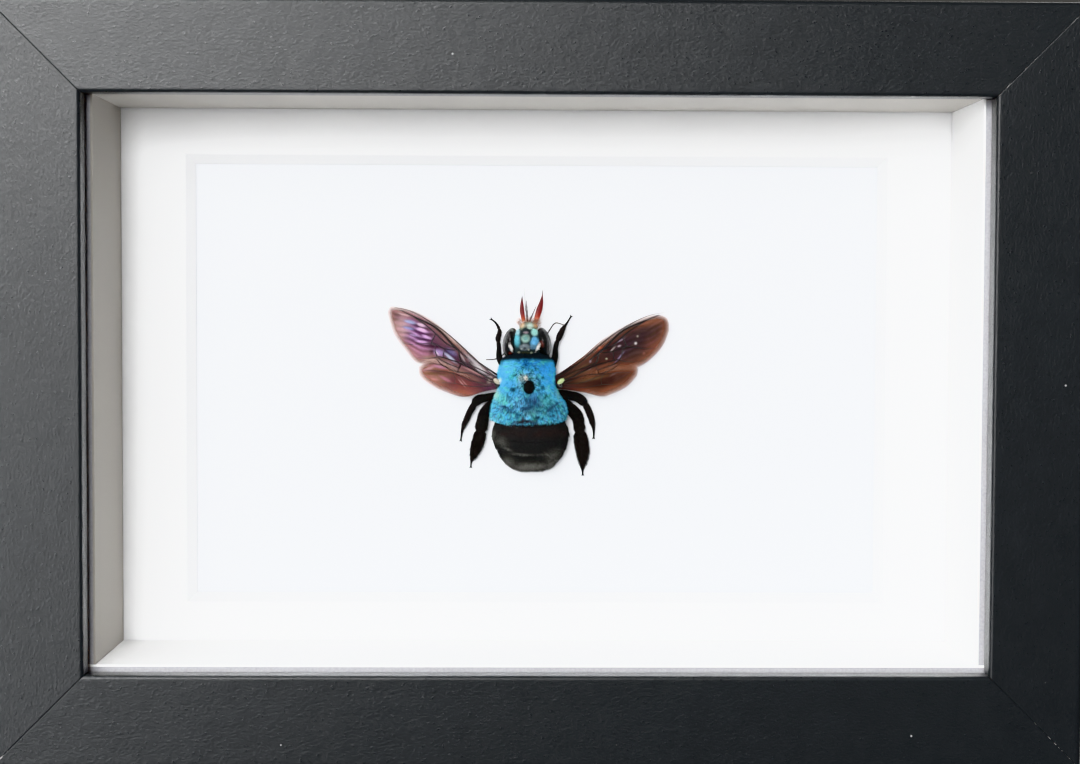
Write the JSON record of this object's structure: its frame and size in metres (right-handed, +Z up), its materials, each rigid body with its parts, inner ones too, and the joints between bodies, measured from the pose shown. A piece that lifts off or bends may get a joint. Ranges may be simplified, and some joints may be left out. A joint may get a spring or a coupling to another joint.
{
  "type": "framed carpenter bee specimen",
  "caption": "Dried blue and black carpenter bee mounted behind a bevelled window mat in a black glazed shadow-box frame that stands on its bottom bar or hangs.",
  "frame": {"origin": "under the middle of the frame, on the surface that it stands on", "axes": "+Z up, +X to the right as seen from the front, -Y out of the glazed face towards the viewer, +Y towards the wall"},
  "size_m": [0.174, 0.036, 0.122],
  "materials": {
    "black_foil": "wood-fibre bars wrapped in satin black foil with a fine embossed grain, pale wear at the mitres",
    "clear_glass": "clear polished float glass",
    "white_foam_board": "matte white paper-faced foam board",
    "white_mat_board": "matte white mat board with a cut bevel",
    "backing_card": "matte card, white with a faint blue cast",
    "brown_hardboard": "smooth brown hardboard",
    "tab_steel": "thin bright zinc-plated steel",
    "bee_blue_and_black": "dried insect: sky-blue hairy thorax, satin black abdomen and legs, brown see-through wings with a violet sheen"
  },
  "bodies": {
    "root": {"frame_bar_top": "black_foil", "frame_bar_bottom": "black_foil", "frame_bar_left": "black_foil", "frame_bar_right": "black_foil", "glass_pane": "clear_glass", "spacer_top": "white_foam_board", "spacer_bottom": "white_foam_board", "spacer_left": "white_foam_board", "spacer_right": "white_foam_board", "window_mat": "white_mat_board", "backing_card": "backing_card", "back_panel": "brown_hardboard", "panel_tab_top_1": "tab_steel", "panel_tab_top_2": "tab_steel", "panel_tab_bottom_1": "tab_steel", "panel_tab_bottom_2": "tab_steel", "panel_tab_left_1": "tab_steel", "panel_tab_right_1": "tab_steel", "hanger_plate": "tab_steel", "hanger_rivet_left": "tab_steel", "hanger_rivet_right": "tab_steel", "carpenter_bee": "bee_blue_and_black"}
  },
  "joints": []
}
